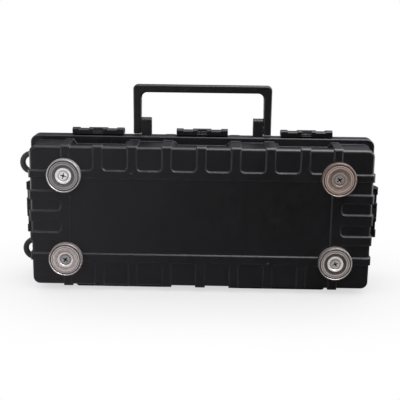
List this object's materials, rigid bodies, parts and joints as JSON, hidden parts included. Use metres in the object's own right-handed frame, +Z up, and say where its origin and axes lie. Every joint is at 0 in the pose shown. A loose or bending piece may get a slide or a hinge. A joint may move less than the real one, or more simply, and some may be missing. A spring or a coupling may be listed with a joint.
{
  "type": "portable battery pack",
  "caption": "Rugged case-style battery pack with hinged lid, end latches, carry handle, strap eyes and pot magnets on its face; cells, board and outlets inside.",
  "frame": {"origin": "centre of the moulded standing foot, on the plane the case rests on", "axes": "+X along the case, +Y from the magnet face towards the lid, +Z up from the hinge side to the carry handle"},
  "size_m": [0.4001, 0.0958, 0.2209],
  "materials": {
    "board_green": "solder mask over glass-epoxy laminate",
    "brass_contact": "nickel-tinned brass",
    "button_rubber": "soft red rubber",
    "cap_rubber": "soft moulded rubber",
    "case_plastic": "satin black moulded plastic",
    "cell_wrap": "blue heat-shrink sleeve over a metal can",
    "chip_black": "moulded package",
    "display_dark": "dark display module",
    "foam_grey": "closed-cell foam",
    "fuse_glass": "glass tube fuse",
    "gasket_rubber": "matt silicone",
    "handle_plastic": "satin black nylon",
    "heatsink": "extruded aluminium",
    "holder_plastic": "matt black moulded plastic",
    "knob_black": "black insulated cap",
    "knob_red": "red insulated cap",
    "latch_plastic": "satin black glass-filled nylon",
    "magnet_ring": "nickel-plated magnet",
    "nickel_cup": "nickel-plated steel",
    "nickel_strip": "pure nickel strip",
    "pin_steel": "ground steel pin",
    "plate_plastic": "textured black plastic",
    "potting": "cured epoxy",
    "screw_zinc": "zinc-plated steel",
    "socket_plastic": "satin black plastic",
    "window_clear": "clear acrylic",
    "wire_black": "silicone insulation",
    "wire_red": "silicone insulation"
  },
  "bodies": {
    "base": {"base_shell": "case_plastic", "rim_gasket": "gasket_rubber", "hinge_pins": "pin_steel", "handle_pins": "pin_steel", "magnet_cups": "nickel_cup", "magnet_rings": "magnet_ring", "magnet_potting": "potting", "magnet_screws": "screw_zinc", "magnet_washers": "screw_zinc", "magnet_nuts": "screw_zinc", "battery_cells": "cell_wrap", "cell_holders": "holder_plastic", "nickel_strips": "nickel_strip", "cell_foam_sheet": "foam_grey", "protection_board": "board_green", "board_components": "chip_black", "board_heatsink": "heatsink", "board_screws": "screw_zinc", "faceplate": "plate_plastic", "faceplate_screws": "screw_zinc", "accessory_socket": "socket_plastic", "usb_socket": "socket_plastic", "socket_contacts": "brass_contact", "cap_pins": "pin_steel", "charge_port": "socket_plastic", "switch_housing": "socket_plastic", "meter_case": "socket_plastic", "meter_window": "window_clear", "meter_display": "display_dark", "button_body": "socket_plastic", "fuse_holder": "socket_plastic", "fuse_cartridge": "fuse_glass", "post_collars": "socket_plastic", "post_studs": "brass_contact", "lead_positive": "wire_red", "lead_negative": "wire_black"},
    "lid": {"lid_shell": "case_plastic", "latch_pins": "pin_steel", "strap_eyes": "gasket_rubber", "strap_eye_screws": "screw_zinc", "vent_valve": "socket_plastic", "vent_valve_nut": "holder_plastic", "lid_foam": "foam_grey"},
    "latch_top_left": {"latch_top_left": "latch_plastic"},
    "latch_top_middle": {"latch_top_middle": "latch_plastic"},
    "latch_top_right": {"latch_top_right": "latch_plastic"},
    "latch_left_end": {"latch_left_end": "latch_plastic"},
    "latch_right_end": {"latch_right_end": "latch_plastic"},
    "carry_handle": {"carry_handle": "handle_plastic"},
    "switch_rocker": {"switch_rocker": "knob_red"},
    "accessory_cap": {"accessory_cap": "cap_rubber"},
    "usb_cap": {"usb_cap": "cap_rubber"},
    "charge_port_cap": {"charge_port_cap": "cap_rubber"},
    "fuse_cap": {"fuse_cap": "knob_black"},
    "post_knob_positive": {"post_knob_positive": "knob_red"},
    "post_knob_negative": {"post_knob_negative": "knob_black"},
    "meter_button": {"meter_button": "button_rubber"}
  },
  "joints": [
    {"name": "lid_hinge", "type": "hinge", "parent": "base", "child": "lid", "pos_m": [0, 0.003, 0.0045], "axis": [-1, 0, 0], "range_deg": [0, 110]},
    {"name": "latch_top_left_pivot", "type": "hinge", "parent": "lid", "child": "latch_top_left", "pos_m": [-0.1135, 0.0105, 0.1677], "axis": [-1, 0, 0], "range_deg": [0, 100]},
    {"name": "latch_top_middle_pivot", "type": "hinge", "parent": "lid", "child": "latch_top_middle", "pos_m": [0, 0.0105, 0.1677], "axis": [-1, 0, 0], "range_deg": [0, 100]},
    {"name": "latch_top_right_pivot", "type": "hinge", "parent": "lid", "child": "latch_top_right", "pos_m": [0.1135, 0.0105, 0.1677], "axis": [-1, 0, 0], "range_deg": [0, 100]},
    {"name": "latch_right_end_pivot", "type": "hinge", "parent": "lid", "child": "latch_right_end", "pos_m": [0.1899, 0.0105, 0.0824], "axis": [0, 0, 1], "range_deg": [0, 100]},
    {"name": "latch_left_end_pivot", "type": "hinge", "parent": "lid", "child": "latch_left_end", "pos_m": [-0.1899, 0.0105, 0.0824], "axis": [0, 0, -1], "range_deg": [0, 100]},
    {"name": "handle_fold", "type": "hinge", "parent": "base", "child": "carry_handle", "pos_m": [0, -0.0015, 0.1754], "axis": [1, 0, 0], "range_deg": [0, 90]},
    {"name": "rocker_tilt", "type": "hinge", "parent": "base", "child": "switch_rocker", "pos_m": [0.152, 0, 0.104], "axis": [0, 0, 1], "range_deg": [0, 18]},
    {"name": "accessory_cap_flip", "type": "hinge", "parent": "base", "child": "accessory_cap", "pos_m": [0.112, 0.007, 0.1199], "axis": [1, 0, 0], "range_deg": [0, 120]},
    {"name": "usb_cap_flip", "type": "hinge", "parent": "base", "child": "usb_cap", "pos_m": [0.152, 0.007, 0.0819], "axis": [1, 0, 0], "range_deg": [0, 120]},
    {"name": "charge_cap_turn", "type": "hinge", "parent": "base", "child": "charge_port_cap", "pos_m": [0.112, 0.008, 0.066], "axis": [0, 1, 0], "continuous": true},
    {"name": "fuse_cap_turn", "type": "hinge", "parent": "base", "child": "fuse_cap", "pos_m": [0.16, 0.008, 0.033], "axis": [0, 1, 0], "range_deg": [0, 60]},
    {"name": "post_knob_positive_turn", "type": "hinge", "parent": "base", "child": "post_knob_positive", "pos_m": [0.102, 0.012, 0.033], "axis": [0, 1, 0], "continuous": true},
    {"name": "post_knob_negative_turn", "type": "hinge", "parent": "base", "child": "post_knob_negative", "pos_m": [0.124, 0.012, 0.033], "axis": [0, 1, 0], "continuous": true},
    {"name": "meter_button_press", "type": "slide", "parent": "base", "child": "meter_button", "axis": [0, -1, 0], "range_m": [0, 0.0012], "stiffness_N_per_m": 300}
  ]
}
